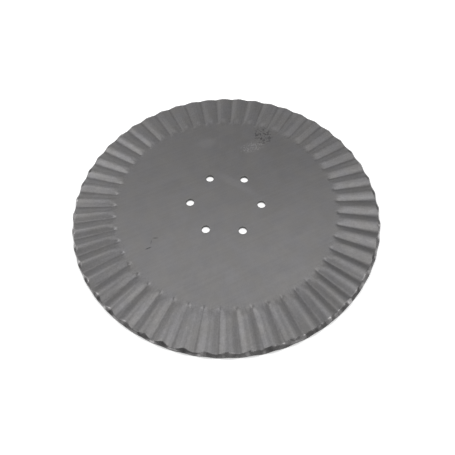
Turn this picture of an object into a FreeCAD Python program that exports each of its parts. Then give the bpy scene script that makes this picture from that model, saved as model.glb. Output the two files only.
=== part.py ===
import FreeCAD, Part
import math
import os
import Sketcher
from FreeCAD import Vector

# Fluted coulter disc: one round steel blade with a flat centre, six bolt holes
# on a circle, radial flutes pressed into its outer ring and a ground edge.
# The blade's axis is +Z and its mid-thickness lies at z = 0. One flute crest
# and one bolt hole lie on +X. The ground bevel is on the upper face.

document = FreeCAD.newDocument("coulter_disc")

# Driving dimensions: millimetres, or a plain count
dimensions = {
    "disc_diameter": (431.8, "outside diameter, 17 inch blade"),
    "plate_thickness": (4.5, "thickness of the plate"),
    "flat_centre_radius": (154.5, "the flat centre ends and the flutes start"),
    "flute_count": (50, "flutes round the blade"),
    "flute_height": (3.4, "from valley to crest at mid-thickness"),
    "flute_flank_width": (7.4, "each sloping flank, seen from above"),
    "flute_run_in": (8.4, "radial length in which a flute rises to full height"),
    "bevel_width": (6.3, "ground edge, seen from above"),
    "edge_thickness": (1.0, "blunt land left at the rim"),
    "bolt_circle_diameter": (101.6, "4 inch bolt circle"),
    "bolt_hole_diameter": (11.5, "clearance for 7/16 inch bolts"),
    "bolt_hole_count": (6, "holes on the bolt circle"),
}

sheet = document.addObject("Spreadsheet::Sheet", "sizes")
for row, (name, (value, note)) in enumerate(dimensions.items(), start=1):
    sheet.set(f"A{row}", name)
    sheet.set(f"B{row}", str(value))
    sheet.set(f"C{row}", note)
    sheet.setAlias(f"B{row}", name)
document.recompute()


def size(name):
    """Value of one driving dimension."""
    return float(getattr(sheet, name))


def bind(item, place, expression):
    """Tie one property of an object to the sheet's cells."""
    item.setExpression(place, expression)


# The pressed plate. Its mid-surface is a ring of level crests, level valleys
# and plane flanks between them. Every flank keeps one width and slope along
# the whole flute, so the level strips widen towards the rim. Both skins are
# that surface set off by their share of the thickness, square to the metal.

def flank_slope():
    """Angle of a flank above the plane of the disc."""
    return math.atan2(size("flute_height"), size("flute_flank_width"))


def flute_ring(station, offset):
    """Corners of one skin at a distance from the axis, four to a flute.

    They run valley, crest, crest, valley with rising angle. offset is the
    distance of the skin above mid-thickness.
    """
    count = int(size("flute_count"))
    half_flank = size("flute_flank_width") / 2
    half_height = size("flute_height") / 2
    shift = offset * math.tan(flank_slope() / 2)
    corners = []
    for number in range(count):
        crest_angle = 2 * math.pi * number / count
        for side, order in ((-1, ("valley", "crest")), (1, ("crest", "valley"))):
            angle = crest_angle + side * math.pi / count / 2
            along = Vector(math.cos(angle), math.sin(angle), 0)
            across = Vector(-along.y, along.x, 0) * side
            for place in order:
                way = 1 if place == "valley" else -1
                corner = along * station + across * (way * half_flank + shift)
                corner.z = offset - way * half_height
                corners.append(corner)
    return corners


def flat_ring(station, offset):
    """Corners where the flutes run out into the flat centre.

    Each flank narrows to one point there, so every corner comes twice and
    the list matches flute_ring.
    """
    count = int(size("flute_count"))
    corners = []
    for number in range(2 * count):
        angle = math.pi * (number - 0.5) / count
        corner = Vector(station * math.cos(angle), station * math.sin(angle), offset)
        corners += [corner, corner]
    return corners


def panel(corners):
    """Plane face through a loop of corners, repeated corners left out."""
    loop = []
    for corner in corners:
        if not any(corner.isEqual(other, 1e-6) for other in loop):
            loop.append(corner)
    return Part.Face(Part.makePolygon(loop + loop[:1]))


def band(inner, outer):
    """Faces between two rings of corners."""
    faces = []
    for number in range(len(inner)):
        following = (number + 1) % len(inner)
        faces.append(panel([inner[number], inner[following], outer[following], outer[number]]))
    return faces


def pressed_plate():
    """Closed solid of the pressed plate, a little larger than the rim."""
    rim = size("disc_diameter") / 2
    half_plate = size("plate_thickness") / 2
    start = size("flat_centre_radius")
    full = start + size("flute_run_in")
    bevel = rim - size("bevel_width")
    fall = (size("plate_thickness") - size("edge_thickness")) / size("bevel_width")
    # The straight edges of the blank lie clear of the round rim
    end = rim / math.cos(math.pi / size("flute_count"))
    upper = [
        flat_ring(start, half_plate),
        flute_ring(full, half_plate),
        flute_ring(bevel, half_plate),
        flute_ring(end, half_plate - fall * (end - bevel)),
    ]
    lower = [
        flat_ring(start, -half_plate),
        flute_ring(full, -half_plate),
        flute_ring(end, -half_plate),
    ]
    faces = []
    for rings in (upper, lower):
        faces.append(panel(rings[0]))
        for inner, outer in zip(rings, rings[1:]):
            faces += band(inner, outer)
    faces += band(upper[-1], lower[-1])
    shell = Part.Shell(faces)
    shell.sewShape()
    solid = Part.Solid(shell)
    if solid.Volume < 0:
        solid.reverse()
    return solid


blank = document.addObject("Part::Feature", "pressed_blank")
blank.Label = "pressed_blank"
blank.Shape = pressed_plate()

# The finished blade is the blank trimmed round, with its bolt holes punched
body = document.addObject("PartDesign::Body", "coulter_disc")
body.Label = "coulter_disc"
body.BaseFeature = blank
document.recompute()
planes = {feature.Role: feature for feature in body.Origin.OriginFeatures}


def level_sketch(name):
    """Empty sketch on the blade's middle plane."""
    sketch = body.newObject("Sketcher::SketchObject", name)
    sketch.AttachmentSupport = [(planes["XY_Plane"], "")]
    sketch.MapMode = "FlatFace"
    return sketch


def add_circle(sketch, name, centre_x, radius, expression):
    """Circle on the X axis of a sketch, its radius tied to the sheet."""
    circle = Part.Circle(Vector(centre_x, 0, 0), Vector(0, 0, 1), radius)
    number = sketch.addGeometry(circle, False)
    constraint = sketch.addConstraint(Sketcher.Constraint("Radius", number, radius))
    sketch.renameConstraint(constraint, name)
    bind(sketch, "Constraints." + name, expression)
    return number


def cut_through(name, sketch):
    """Cut a sketch through the whole blade, both ways from its middle."""
    pocket = body.newObject("PartDesign::Pocket", name)
    pocket.Profile = sketch
    pocket.Type = "ThroughAll"
    pocket.Midplane = True
    return pocket


trim = level_sketch("rim_circles")
for name, extra in (("rim_radius", ""), ("outside_radius", " + sizes.bevel_width")):
    radius = size("disc_diameter") / 2 + (size("bevel_width") if extra else 0)
    ring = add_circle(trim, name, 0, radius, "sizes.disc_diameter / 2" + extra)
    trim.addConstraint(Sketcher.Constraint("Coincident", ring, 3, -1, 1))
rim_cut = cut_through("round_rim", trim)
document.recompute()

hole = level_sketch("bolt_hole_circle")
circle = add_circle(hole, "hole_radius", size("bolt_circle_diameter") / 2,
                    size("bolt_hole_diameter") / 2, "sizes.bolt_hole_diameter / 2")
hole.addConstraint(Sketcher.Constraint("PointOnObject", circle, 3, -1))
distance = hole.addConstraint(
    Sketcher.Constraint("DistanceX", -1, 1, circle, 3, size("bolt_circle_diameter") / 2))
hole.renameConstraint(distance, "hole_position")
bind(hole, "Constraints.hole_position", "sizes.bolt_circle_diameter / 2")
first_hole = cut_through("bolt_hole", hole)
document.recompute()

bolt_holes = body.newObject("PartDesign::PolarPattern", "bolt_holes")
bolt_holes.Originals = [first_hole]
bolt_holes.Axis = (planes["Z_Axis"], [""])
bolt_holes.Angle = 360
bind(bolt_holes, "Occurrences", "sizes.bolt_hole_count")
body.Tip = bolt_holes
document.recompute()

# Nothing is written unless every object is sound
for item in document.Objects:
    if "Invalid" in item.State or "Error" in item.State:
        raise RuntimeError(f"{item.Name} failed: {item.State}")
stages = [blank, rim_cut, first_hole, bolt_holes]
for before, after in zip(stages, stages[1:]):
    if not after.Shape.Volume < before.Shape.Volume:
        raise RuntimeError(f"{after.Name} removed nothing")

os.makedirs("parts", exist_ok=True)
for part in [body]:
    shape = part.Shape
    if shape.isNull() or not shape.isValid() or len(shape.Solids) != 1:
        raise RuntimeError(f"{part.Label} isn't one valid solid")
    shape.exportStep(f"parts/{part.Label}.step")
    print(part.Label, "faces", len(shape.Faces), "volume", round(shape.Volume), "mm3")
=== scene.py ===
import math

import bmesh
import bpy
import numpy as np
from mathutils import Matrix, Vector


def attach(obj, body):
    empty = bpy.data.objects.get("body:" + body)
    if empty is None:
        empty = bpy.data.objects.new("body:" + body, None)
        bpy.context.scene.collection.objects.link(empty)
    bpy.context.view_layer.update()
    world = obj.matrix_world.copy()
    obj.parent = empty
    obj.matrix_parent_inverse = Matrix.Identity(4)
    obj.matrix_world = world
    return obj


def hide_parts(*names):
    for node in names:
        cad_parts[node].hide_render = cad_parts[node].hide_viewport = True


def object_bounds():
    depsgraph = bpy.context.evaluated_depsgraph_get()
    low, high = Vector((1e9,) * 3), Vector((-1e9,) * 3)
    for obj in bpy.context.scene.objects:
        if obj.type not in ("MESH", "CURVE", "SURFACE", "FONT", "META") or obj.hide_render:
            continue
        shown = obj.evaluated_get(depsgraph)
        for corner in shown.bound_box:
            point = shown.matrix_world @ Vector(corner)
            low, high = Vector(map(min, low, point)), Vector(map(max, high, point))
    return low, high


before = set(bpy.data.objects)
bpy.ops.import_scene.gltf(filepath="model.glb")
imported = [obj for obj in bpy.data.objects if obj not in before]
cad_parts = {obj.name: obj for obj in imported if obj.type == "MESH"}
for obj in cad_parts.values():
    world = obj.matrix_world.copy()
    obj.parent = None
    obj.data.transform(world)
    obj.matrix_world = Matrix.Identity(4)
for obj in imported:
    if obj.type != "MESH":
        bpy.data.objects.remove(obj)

# Fluted coulter blade lying on a pale floor. Metres throughout. The visual
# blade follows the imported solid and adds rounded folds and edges.
cadBox = [list(corner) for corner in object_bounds()]
bpy.context.scene.view_settings.view_transform = "Standard"
print("stage: frame loaded, box", cadBox)


# Helpers for node trees

def newMaterial(name):
    material = bpy.data.materials.new(name)
    material.use_nodes = True
    material.node_tree.nodes.clear()
    return material, material.node_tree


def addNode(tree, kind, inputs=None, **settings):
    node = tree.nodes.new(kind)
    for key, value in settings.items():
        setattr(node, key, value)
    for key, value in (inputs or {}).items():
        if isinstance(value, bpy.types.NodeSocket):
            tree.links.new(value, node.inputs[key])
        else:
            node.inputs[key].default_value = value
    return node


def combine(tree, operation, first, second):
    return addNode(tree, "ShaderNodeMath", {0: first, 1: second}, operation=operation).outputs[0]


# Goes smoothly from low to high while the value goes from start to end
def mapped(tree, value, start, end, low, high):
    limits = {"Value": value, "From Min": start, "From Max": end, "To Min": low, "To Max": high}
    node = addNode(tree, "ShaderNodeMapRange", limits, interpolation_type="SMOOTHSTEP")
    return node.outputs["Result"]


# Noise with spots about grain metres across
def noise(tree, place, grain, detail=2.0):
    inputs = {"Vector": place, "Scale": 1 / grain, "Detail": detail}
    return addNode(tree, "ShaderNodeTexNoise", inputs).outputs[0]


# The same, spread out to run from low to high. Little of it lies beyond 0.28 and 0.72.
def patches(tree, place, grain, low, high, detail=2.0):
    return mapped(tree, noise(tree, place, grain, detail), 0.28, 0.72, low, high)


# Coordinates counted in units of an ellipse that lies on the blade at an angle
def inEllipse(tree, place, centre, angle, size):
    rotation = (0, 0, math.radians(angle))
    inputs = {"Vector": place, "Location": centre, "Rotation": rotation, "Scale": size}
    return addNode(tree, "ShaderNodeMapping", inputs, vector_type="TEXTURE").outputs[0]


def lengthOf(tree, vector):
    return addNode(tree, "ShaderNodeVectorMath", {0: vector}, operation="LENGTH").outputs["Value"]


# Direction from the blade's centre, for marks that run outwards
def directionOf(tree, vector):
    return addNode(tree, "ShaderNodeVectorMath", {0: vector}, operation="NORMALIZE").outputs[0]


# The blade

blade = {
    "rimRadius": 0.2159,
    "plate": 0.0045,           # thickness
    "flutes": 50,
    "fluteHeight": 0.0034,     # valley to crest at mid-thickness
    "flankWidth": 0.009,
    "flankShift": 0.0002,      # flanks lie this much nearer the valley than the crest
    "crestReach": 0.0039,      # half the rounding of a fold beside a crest, at mid-thickness
    "valleyReach": 0.0016,
    "valleyStart": 0.1535,     # a valley starts here on its centre line
    "valleyRun": 0.0072,       # length over which it deepens
    "crestStart": 0.156,
    "crestRun": 0.0135,
    "scoop": 0.004,            # how far the end of a valley curves back at its sides
    "crestScoop": 0.001,
    "scoopCorner": 0.96,       # 1 makes the curved end a full quarter circle
    "columns": 14,             # steps from a crest to a valley
    "innerMargin": 0.0008,     # the rings start this far inside the flutes
    "runInRings": 21,          # rings over the ends of the flutes
    "fluteRings": 9,           # from there to the bevel
    "bevelRings": 13,
    "bevelWidth": 0.0063,      # on a crest
    "bevelNarrowing": 0.62,    # share of it lost in a valley
    "bevelEven": 305,          # degrees from the X axis, where none is lost
    "bevelCurve": 1.35,        # 1 is plane, more is rounded
    "bevelUneven": 0.3,        # how much it differs from flute to flute
    "bevelWaves": ((7, 1.3), (17, 0.4), (31, 2.1)),  # waves round the rim, and their phases
    "groundFrom": 0.02,        # share of the bevel at which the ground finish starts
    "land": 0.0012,            # blunt edge left at the rim, in a valley
    "landMore": 0.0007,        # how much thicker it is on a crest
    "landRound": 0.00018,
    "boltCircle": 0.0508,      # radius
    "boltHoles": 6,
    "holeRadius": 0.00575,
    "holeRound": 0.0004,       # rolled edge of a hole on the upper face
    "holeSides": 56,
}
pitchAngle = 2 * math.pi / blade["flutes"]
flankSlope = blade["fluteHeight"] / blade["flankWidth"]
floorHeight = cadBox[0][2]
# Angles of the columns of vertices: a row to each flute, counted from its crest line
columnTurns = np.arange(-blade["columns"], blade["columns"]) / blade["columns"] * pitchAngle / 2
columnTurns = np.tile(columnTurns, (blade["flutes"], 1))
crestAngles = np.arange(blade["flutes"])[:, None] * pitchAngle
# Places of the finishes in the blade's list of them
steelPlace = 0
bevelPlace = 1
cutPlace = 2


# 0 before -reach, x after reach, and a parabola between
def eased(x, reach):
    return np.where(x < -reach, 0, np.where(x > reach, x, (x + reach) ** 2 / (4 * reach)))


# Share of the full depth at a distance past the start of a flute
def runInShare(distance, length):
    part = np.clip(distance / length, 0, 1)
    return part * part * (3 - 2 * part)


# Height of the middle of the plate. turn is the angle from a crest line.
def plateHeight(radius, turn):
    quarter = radius * pitchAngle / 4
    away = abs(turn) * radius
    crestFold = quarter + blade["flankShift"] - blade["flankWidth"] / 2
    valleyFold = quarter + blade["flankShift"] + blade["flankWidth"] / 2
    fall = eased(away - crestFold, blade["crestReach"]) + eased(-away - crestFold, blade["crestReach"])
    fall = fall - eased(away - valleyFold, blade["valleyReach"])
    fall = fall - eased(away - 4 * quarter + valleyFold, blade["valleyReach"])
    height = blade["fluteHeight"] / 2 - flankSlope * fall
    side = np.clip(np.where(height > 0, away, 2 * quarter - away) / quarter, 0, 1)
    curve = 1 - np.sqrt(1 - blade["scoopCorner"] * side ** 2)
    pressed = runInShare(radius - blade["valleyStart"] - blade["scoop"] * curve, blade["valleyRun"])
    raised = runInShare(radius - blade["crestStart"] - blade["crestScoop"] * curve, blade["crestRun"])
    return height * np.where(height > 0, raised, pressed)


# 1 on a crest line and 0 in a valley
def crestShare():
    return 0.5 + 0.5 * np.cos(2 * math.pi * columnTurns / pitchAngle)


# How far the ground bevel has got: 0 where it starts, 1 at the rim
def bevelShare(radius):
    angle = crestAngles + columnTurns
    waves = [np.sin(times * angle + phase) for times, phase in blade["bevelWaves"]]
    uneven = sum(waves) / len(waves)
    # The powers keep each effect near its own place
    crest = crestShare() ** 2
    even = np.clip(np.cos(angle - math.radians(blade["bevelEven"])), 0, 1) ** 4
    width = blade["bevelWidth"] * (1 - blade["bevelNarrowing"] * (1 - crest) * (1 - even))
    width = width * (1 - blade["bevelUneven"] * (0.5 + uneven / 2))
    return np.clip(1 - (blade["rimRadius"] - radius) / width, 0, 1)


# Offset of the upper skin from the middle of the plate
def upperOffset(radius):
    drop = blade["plate"] - blade["land"] - blade["landMore"] * crestShare()
    return blade["plate"] / 2 - drop * bevelShare(radius) ** blade["bevelCurve"]


# One ring of the skin, set off square from the middle of the plate
def skinRing(radius, offset, lift):
    turn = columnTurns
    step = 1e-6                # over which the slopes are taken
    outward = (plateHeight(radius + step, turn) - plateHeight(radius - step, turn)) / (2 * step)
    along = step / radius
    across = (plateHeight(radius, turn + along) - plateHeight(radius, turn - along)) / (2 * step)
    length = np.sqrt(1 + outward ** 2 + across ** 2)
    height = plateHeight(radius, turn) + offset / length + lift
    reach = np.minimum(radius - outward * offset / length, blade["rimRadius"])
    angle = crestAngles + turn - across * offset / length / radius
    points = np.stack([reach * np.cos(angle), reach * np.sin(angle), height], -1)
    return points.reshape(-1, 3)


# Rings of the skin from the flat centre over the rim and back: radius, offset, lift
def bladeRings():
    rim = blade["rimRadius"]
    soft = blade["landRound"]
    corner = 0.3 * soft        # how far a rounding stays inside its corner
    start = min(blade["valleyStart"], blade["crestStart"])
    full = blade["crestStart"] + blade["crestRun"] + blade["scoop"]
    bevelStart = rim - blade["bevelWidth"]
    runIn = list(np.linspace(start - blade["innerMargin"], full, blade["runInRings"]))
    flute = list(np.linspace(full, bevelStart, blade["fluteRings"]))[1:-1]
    bevel = list(np.linspace(bevelStart, rim, blade["bevelRings"]))[:-1]
    low = -blade["plate"] / 2
    edge = upperOffset(rim)
    upper = [(r, upperOffset(r), 0) for r in runIn + flute + bevel + [rim - soft]]
    land = [(rim - corner, edge, -corner), (rim, edge, -soft),
            (rim, low, soft), (rim - corner, low, corner)]
    lower = [(r, low, 0) for r in [rim - soft, bevelStart] + flute[::-1] + runIn[::-2]]
    return upper, land, lower


# Circles of one bolt hole: its rolled upper edge, its wall and a sharper lower edge.
# A ring on each face beside them keeps the shading of the edges off the flat centre.
def holeRings():
    radius = blade["holeRadius"]
    soft = blade["holeRound"]
    half = blade["plate"] / 2
    upperFace = [(radius + 2.2 * soft, half)]
    rolled = [(radius + soft * (1 - math.sin(turn)), half - soft * (1 - math.cos(turn)))
              for turn in (0, math.pi / 4, math.pi / 2)]
    sharp = [(radius, -half + soft / 2), (radius + soft / 6, -half + soft / 6), (radius + soft / 2, -half)]
    lowerFace = [(radius + 1.7 * soft, -half)]
    return upperFace + rolled + sharp + lowerFace


def joinRings(mesh, first, second, materials):
    count = len(first)
    for number in range(count):
        following = (number + 1) % count
        face = mesh.faces.new([first[number], first[following], second[following], second[number]])
        face.material_index = int(materials[number])
        face.smooth = True


# The level face between the innermost ring of flutes and the bolt holes
def fillCentre(mesh, loops, upward):
    edges = []
    for loop in loops:
        for number, vertex in enumerate(loop):
            edges.append(mesh.edges.get([vertex, loop[(number + 1) % len(loop)]]))
    made = bmesh.ops.triangle_fill(mesh, use_beauty=True, edges=edges)
    for face in [item for item in made["geom"] if isinstance(item, bmesh.types.BMFace)]:
        face.smooth = True
        face.normal_update()
        if (face.normal.z > 0) != upward:
            face.normal_flip()


# One bolt hole. Gives its loops of vertices on the upper and the lower face.
def punchHole(mesh, hole):
    around = 2 * math.pi * hole / blade["boltHoles"]
    centre = Vector((math.cos(around), math.sin(around), 0)) * blade["boltCircle"]
    circles = []
    for radius, height in holeRings():
        circle = []
        for side in range(blade["holeSides"]):
            angle = 2 * math.pi * side / blade["holeSides"]
            point = centre + Vector((radius * math.cos(angle), radius * math.sin(angle), height))
            circle.append(mesh.verts.new(point))
        circles.append(circle)
    for number in range(len(circles) - 1):
        # The faces and the start of the rolled edge show the plate's own finish
        finish = cutPlace if 1 < number < len(circles) - 2 else steelPlace
        joinRings(mesh, circles[number], circles[number + 1], [finish] * blade["holeSides"])
    return circles[0], circles[-1]


def buildBlade():
    mesh = bmesh.new()
    # wave is 1 on a crest, -1 in a valley and 0 on the flat centre
    wave = mesh.verts.layers.float.new("wave")
    upper, land, lower = bladeRings()
    spans = upper + land + lower
    rings = []
    for radius, offset, lift in spans:
        ring = [mesh.verts.new(point) for point in skinRing(radius, offset, lift)]
        heights = (plateHeight(radius, columnTurns) * 2 / blade["fluteHeight"]).ravel()
        for vertex, height in zip(ring, heights):
            vertex[wave] = height
        rings.append(ring)
    for number in range(len(rings) - 1):
        materials = np.full(len(rings[0]), steelPlace)
        if number < len(upper) - 1:
            middle = (spans[number][0] + spans[number + 1][0]) / 2
            isGround = bevelShare(middle) > blade["groundFrom"]
            materials = np.where(isGround, bevelPlace, steelPlace).ravel()
        elif number < len(upper) + len(land):
            materials[:] = cutPlace
        joinRings(mesh, rings[number + 1], rings[number], materials)
    upperLoops = [rings[0]]
    lowerLoops = [rings[-1]]
    for hole in range(blade["boltHoles"]):
        upperLoop, lowerLoop = punchHole(mesh, hole)
        upperLoops.append(upperLoop)
        lowerLoops.append(lowerLoop)
    fillCentre(mesh, upperLoops, True)
    fillCentre(mesh, lowerLoops, False)
    data = bpy.data.meshes.new("coulterBlade")
    mesh.to_mesh(data)
    mesh.free()
    piece = bpy.data.objects.new("coulterBlade", data)
    bpy.context.scene.collection.objects.link(piece)
    return piece


coulterBlade = buildBlade()
print("stage: blade mesh,", len(coulterBlade.data.polygons), "faces")


# Finishes of the blade

hardened = {
    "color": (0.195, 0.1915, 0.1925),
    "roughness": 0.38,
    "roughnessMore": 0.03,     # how far it varies either way, in spots roughnessWidth across
    "roughnessWidth": 0.006,
    "valleyRougher": 0.06,     # how much more along the valleys
    "cloud": 0.03,             # contrast of the soft clouds
    "cloudWidth": 0.03,
    "mottle": 0.075,           # contrast of the small patches on the flutes
    "mottleWidth": 0.0021,
    "streak": 0.022,           # contrast of the rolling streaks
    "streakAngle": 28,         # degrees from the X axis
    "streakSize": (0.12, 0.0035, 1),
    "drawn": 0.05,             # contrast of the streaks along the flutes
    "drawnWidth": 0.0016,
    "valleyDirtAndShade": 0.13,        # share of the colour lost along the valleys: dirt and painted shade
    "crestLightening": 0.04,       # share of it gained along the crests
    "dents": 0.00003,          # depth of the small dents in the flutes
    "dentsPerMetre": 420,
    "plainRadius": 0.148,      # where the plain centre ends
    "flutedRadius": 0.158,     # and where the flutes show mottle, drawn streaks and dents in full
    "plainShare": 0.25,        # share of those on the plain centre
    "tint": (0.002, 0.001, -0.0025),  # change of colour between warmer and cooler spots
    "tintWidth": 0.022,
    "markDepth": 0.002,        # how far a worn mark reaches from the upper face
    "markBreaks": 0.0012,      # width of the breaks in a worn mark
}
# Worn marks on the upper face: x, y, angle, length, width, change of brightness
wearMarks = [
    (0.0365, 0.1080, 22, 0.042, 0.022, 0.06),
    (-0.1000, -0.0765, 28, 0.0105, 0.0022, -0.60),
    (-0.0925, -0.0605, 5, 0.0090, 0.0022, -0.42),
    (-0.0975, -0.0668, 85, 0.0080, 0.0020, -0.32),
    (0.0090, 0.0380, -32, 0.095, 0.016, 0.09),
    (-0.0345, 0.1134, 20, 0.032, 0.028, 0.13),
]
# Speckled marks: the same, and the width of a speck
specks = [
    (0.0365, 0.1075, 22, 0.044, 0.022, 0.45, 0.0026),
    (0.0525, 0.1315, 10, 0.033, 0.038, -0.50, 0.0031),
]


# Metal with a colour scaled by a tone, and a roughness and a relief that may vary
def metal(material, tree, color, tone, roughness, normal=None):
    painted = addNode(tree, "ShaderNodeVectorMath", {0: color, "Scale": tone}, operation="SCALE")
    shader = addNode(tree, "ShaderNodeBsdfPrincipled", {
        "Base Color": painted.outputs[0], "Metallic": 1.0, "Roughness": roughness})
    if normal:
        tree.links.new(normal, shader.inputs["Normal"])
    output = addNode(tree, "ShaderNodeOutputMaterial")
    tree.links.new(shader.outputs[0], output.inputs[0])
    return material


# Distance from the middle of a worn mark, counted so that it is 1 on the mark's edge
def fromMark(tree, place, x, y, angle, length, width):
    centre = (x, y, blade["plate"] / 2)
    size = (length / 2, width / 2, hardened["markDepth"])
    return lengthOf(tree, inEllipse(tree, place, centre, angle, size))


# Clouds and rolling streaks all over, and mottle and drawn streaks on the flutes
def pressedTone(tree, place, fluted):
    look = hardened
    tone = patches(tree, place, look["cloudWidth"], 1 - look["cloud"], 1 + look["cloud"])
    spots = patches(tree, place, look["mottleWidth"], -look["mottle"], look["mottle"], 4.0)
    drawn = patches(tree, directionOf(tree, place), look["drawnWidth"] / blade["rimRadius"],
                    -look["drawn"], look["drawn"], 3.0)
    spots = combine(tree, "MULTIPLY", combine(tree, "ADD", spots, drawn), fluted)
    tone = combine(tree, "ADD", tone, spots)
    rolled = inEllipse(tree, place, (0, 0, 0), look["streakAngle"], look["streakSize"])
    streaks = mapped(tree, noise(tree, rolled, 1.0, 3.0), 0.3, 0.7, -look["streak"], look["streak"])
    return combine(tree, "ADD", tone, streaks)


# A tone with the marks added, each fading from near its middle to just past its edge
def markedTone(tree, place, tone):
    broken = patches(tree, place, hardened["markBreaks"], 0.55, 1.25, 3.0)
    for x, y, angle, length, width, change in wearMarks:
        away = fromMark(tree, place, x, y, angle, length, width)
        mark = combine(tree, "MULTIPLY", mapped(tree, away, 0.35, 1.15, change, 0), broken)
        tone = combine(tree, "ADD", tone, mark)
    for x, y, angle, length, width, change, speck in specks:
        away = fromMark(tree, place, x, y, angle, length, width)
        speckled = mapped(tree, noise(tree, place, speck), 0.5, 0.62, 0, 1)
        mark = combine(tree, "MULTIPLY", mapped(tree, away, 0.6, 1.1, change, 0), speckled)
        tone = combine(tree, "ADD", tone, mark)
    return tone


# Dull pressed steel, worn and marked, with dirt and painted shade in the valleys and lighter along the
# crests
def hardenedSteel():
    material, tree = newMaterial("hardenedSteel")
    look = hardened
    place = addNode(tree, "ShaderNodeTexCoord").outputs["Object"]
    wave = addNode(tree, "ShaderNodeAttribute", attribute_name="wave").outputs["Fac"]
    fluted = mapped(tree, lengthOf(tree, place), look["plainRadius"], look["flutedRadius"],
                    look["plainShare"], 1)
    tone = markedTone(tree, place, pressedTone(tree, place, fluted))
    # wave is -1 in a valley and 1 on a crest
    # Dirt and painted shade darken the valleys; the crests are made a little lighter
    dirtAndShade = mapped(tree, wave, -1.0, -0.6, 1 - look["valleyDirtAndShade"], 1)
    lightening = mapped(tree, wave, 0.5, 1.0, 1, 1 + look["crestLightening"])
    tone = combine(tree, "MULTIPLY", tone, combine(tree, "MULTIPLY", dirtAndShade, lightening))
    warmth = patches(tree, place, look["tintWidth"], -1, 1)
    color = addNode(tree, "ShaderNodeVectorMath", {0: look["tint"], 1: warmth, 2: look["color"]},
                    operation="MULTIPLY_ADD").outputs[0]
    roughness = patches(tree, place, look["roughnessWidth"], look["roughness"] - look["roughnessMore"],
                        look["roughness"] + look["roughnessMore"])
    rougher = mapped(tree, wave, -1.0, -0.2, look["valleyRougher"], 0)
    roughness = combine(tree, "ADD", roughness, rougher)
    dents = combine(tree, "MULTIPLY", noise(tree, place, 1 / look["dentsPerMetre"]), fluted)
    relief = addNode(tree, "ShaderNodeBump", {"Height": dents, "Distance": look["dents"]}).outputs[0]
    return metal(material, tree, color, tone, roughness, relief)


ground = {
    "color": (0.205, 0.2, 0.201),
    "roughness": 0.3,
    "roughnessMore": 0.06,     # how far it varies either way between the grinding marks
    "shadeOnCrest": 0.5,         # painted shade: share of the colour lost on a crest, and half of it in a valley
    "shadeWidth": 0.009,
    "scratchWidth": 0.0012,    # of the grinding marks, along the rim
    "scratch": 0.1,            # their contrast
    "scratchDepth": 0.00001,
    "cloud": 0.12,             # contrast of the patches left by uneven grinding
    "cloudWidth": 0.008,
    "fresh": 0.9,              # how much brighter the freshest spots are
    "freshPerMetre": 95,
}


# Ground steel: marks across the edge, uneven bright and dark patches along it, and painted shade in
# patches, most on the crests
def groundBevel():
    material, tree = newMaterial("groundBevel")
    look = ground
    place = addNode(tree, "ShaderNodeTexCoord").outputs["Object"]
    wave = addNode(tree, "ShaderNodeAttribute", attribute_name="wave").outputs["Fac"]
    scratches = noise(tree, directionOf(tree, place), look["scratchWidth"] / blade["rimRadius"])
    tone = mapped(tree, scratches, 0.3, 0.7, 1 - look["scratch"], 1 + look["scratch"])
    clouds = patches(tree, place, look["cloudWidth"], 1 - look["cloud"], 1 + look["cloud"])
    tone = combine(tree, "MULTIPLY", tone, clouds)
    # Only the peaks of the noise are fresh spots
    fresh = noise(tree, place, 1 / look["freshPerMetre"], 0.0)
    tone = combine(tree, "MULTIPLY", tone, mapped(tree, fresh, 0.54, 0.66, 1, 1 + look["fresh"]))
    # Painted shade on the bevel: darker in patches, fully on a crest and half as much in a valley
    deepest = mapped(tree, wave, -0.9, 0.9, 0.5 * look["shadeOnCrest"], look["shadeOnCrest"])
    paintedShade = combine(tree, "MULTIPLY", deepest, patches(tree, place, look["shadeWidth"], 0, 1))
    tone = combine(tree, "MULTIPLY", tone, combine(tree, "SUBTRACT", 1.0, paintedShade))
    roughness = mapped(tree, scratches, 0.3, 0.7, look["roughness"] + look["roughnessMore"],
                       look["roughness"] - look["roughnessMore"])
    relief = addNode(tree, "ShaderNodeBump", {"Height": scratches, "Distance": look["scratchDepth"]})
    return metal(material, tree, look["color"], tone, roughness, relief.outputs[0])


cutFace = {
    "color": (0.12, 0.119, 0.118),
    "roughness": 0.6,
    "mottle": 0.3,
    "mottleWidth": 0.0015,
    "rimShadeShare": 0.55,          # of the colour left at the rim: painted shade, darker than at the holes
}


# Dark dull steel of the sheared hole walls and the blunt edge, with painted shade darkening it towards the
# rim
def cutEdge():
    material, tree = newMaterial("cutEdge")
    place = addNode(tree, "ShaderNodeTexCoord").outputs["Object"]
    look = cutFace
    tone = patches(tree, place, look["mottleWidth"], 1 - look["mottle"], 1 + look["mottle"])
    # Painted shade: the colour darkens from the bolt circle out to the rim
    rimShade = mapped(tree, lengthOf(tree, place), blade["boltCircle"], blade["rimRadius"], 1, look["rimShadeShare"])
    tone = combine(tree, "MULTIPLY", tone, rimShade)
    return metal(material, tree, look["color"], tone, look["roughness"])


for finish in (hardenedSteel(), groundBevel(), cutEdge()):
    coulterBlade.data.materials.append(finish)
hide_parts("coulter_disc")
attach(coulterBlade, "root")
print("stage: finishes")


# Floor, light and camera

floorLook = {
    "size": 60.0,
    "color": (0.92, 0.92, 0.92, 1),
    "glow": 0.5,               # how white it shows by itself away from the blade
    "glowRim": 0.1,            # and under the rim, where the low glow lets the shadow show; its rise just past the rim leaves a band of painted shadow
    "glowHoles": 0.65,         # and under the bolt holes: painted light that whitens the shadowed floor seen through them
    "holesEdge": (0.07, 0.1),  # distances from the axis over which the glow changes
    "rimEdge": (0.213, 0.22),
}
floorMesh = bpy.data.meshes.new("paleFloor")
half = floorLook["size"] / 2
corners = [(x * half, y * half, floorHeight) for x, y in ((-1, -1), (1, -1), (1, 1), (-1, 1))]
floorMesh.from_pydata(corners, [], [(0, 1, 2, 3)])
paleFloor = bpy.data.objects.new("paleFloor", floorMesh)
bpy.context.scene.collection.objects.link(paleFloor)
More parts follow.
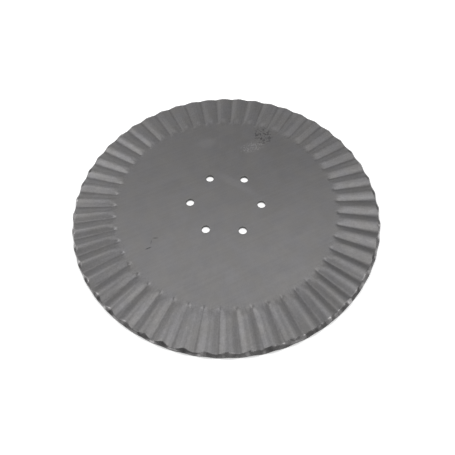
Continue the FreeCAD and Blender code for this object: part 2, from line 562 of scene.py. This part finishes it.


# Pale paint that the camera and the steel also see glowing a little, with painted light under the bolt
# holes and a band of painted shadow just past the rim
def makeFloorLook():
    material, tree = newMaterial("paleFloor")
    path = addNode(tree, "ShaderNodeLightPath")
    seen = combine(tree, "ADD", path.outputs["Is Camera Ray"], path.outputs["Is Glossy Ray"])
    seen = combine(tree, "MINIMUM", combine(tree, "ADD", seen, path.outputs["Is Transmission Ray"]), 1.0)
    away = lengthOf(tree, addNode(tree, "ShaderNodeTexCoord").outputs["Object"])
    more = floorLook["glowHoles"] - floorLook["glowRim"]
    # Painted light: the floor under the bolt holes glows more, hiding the shadow seen through them
    inner = mapped(tree, away, *floorLook["holesEdge"], more, 0)
    # Painted shadow: the glow is low under the rim and rises just past it, leaving a grey band round the
    # blade
    outer = mapped(tree, away, *floorLook["rimEdge"], floorLook["glowRim"], floorLook["glow"])
    glow = addNode(tree, "ShaderNodeEmission", {"Strength": combine(tree, "ADD", inner, outer)})
    paint = addNode(tree, "ShaderNodeBsdfDiffuse", {"Color": floorLook["color"]})
    lit = addNode(tree, "ShaderNodeAddShader")
    tree.links.new(glow.outputs[0], lit.inputs[0])
    tree.links.new(paint.outputs[0], lit.inputs[1])
    blend = addNode(tree, "ShaderNodeMixShader", {0: seen})
    tree.links.new(paint.outputs[0], blend.inputs[1])
    tree.links.new(lit.outputs[0], blend.inputs[2])
    output = addNode(tree, "ShaderNodeOutputMaterial")
    tree.links.new(blend.outputs[0], output.inputs[0])
    return material


floorMesh.materials.append(makeFloorLook())

worldLight = 0.475
world = bpy.data.worlds.new("studio")
bpy.context.scene.world = world
world.use_nodes = True
background = world.node_tree.nodes["Background"]
background.inputs["Color"].default_value = (1, 1, 1, 1)
background.inputs["Strength"].default_value = worldLight

# Round soft boxes: heading from +Y and height above the floor in degrees, distance, width, watts
softBoxes = {
    "farHighBox": (0, 73, 1.5, 1.0, 1.75),
    "farLeftBox": (-45, 55, 1.5, 1.1, 0.9),
    "farRightBox": (53, 51, 1.5, 1.1, 1.5),
    "farLowBox": (-2, 12, 1.5, 1.5, 1.8),
    "farLowLeftBox": (-34, 18, 1.5, 0.8, 0.75),
    "leftBox": (-86, 49, 1.5, 0.95, 3.5),
    "lowLeftBox": (-76, 13, 1.5, 0.6, 1.5),
    "lowRightBox": (84, 13, 1.5, 0.6, 0.9),
    "highRightBox": (122, 64, 1.5, 1.1, 4.1),
}
for name, (heading, height, distance, width, power) in softBoxes.items():
    lamp = bpy.data.lights.new(name, "AREA")
    lamp.shape = "DISK"
    lamp.size = width
    lamp.energy = power
    holder = bpy.data.objects.new(name, lamp)
    turn = math.radians(heading)
    rise = math.radians(height)
    towards = Vector((math.sin(turn) * math.cos(rise), math.cos(turn) * math.cos(rise), math.sin(rise)))
    holder.location = towards * distance
    holder.rotation_euler = towards.to_track_quat("Z", "Y").to_euler()
    bpy.context.scene.collection.objects.link(holder)

view = {
    "lens": 33.05,             # mm, on a sensor 36 mm wide
    "aim": (0.00424, -0.039, 0.0),
    "heading": 3.73,           # degrees, turned left from looking along +Y
    "down": 58.62,             # degrees below level
    "roll": 1.46,              # degrees
    "distance": 0.5759,        # from the point aimed at
}
lens = bpy.data.cameras.new("photoView")
lens.lens = view["lens"]
lens.sensor_width = 36
camera = bpy.data.objects.new("photoView", lens)
turn, down, roll = (math.radians(view[key]) for key in ("heading", "down", "roll"))
forward = Vector((-math.sin(turn) * math.cos(down), math.cos(turn) * math.cos(down), -math.sin(down)))
camera.location = Vector(view["aim"]) - forward * view["distance"]
camera.rotation_euler = forward.to_track_quat("-Z", "Y").to_euler()
camera.rotation_euler.rotate_axis("Z", -roll)
bpy.context.scene.collection.objects.link(camera)
bpy.context.scene.camera = camera
print("stage: floor, light and camera")
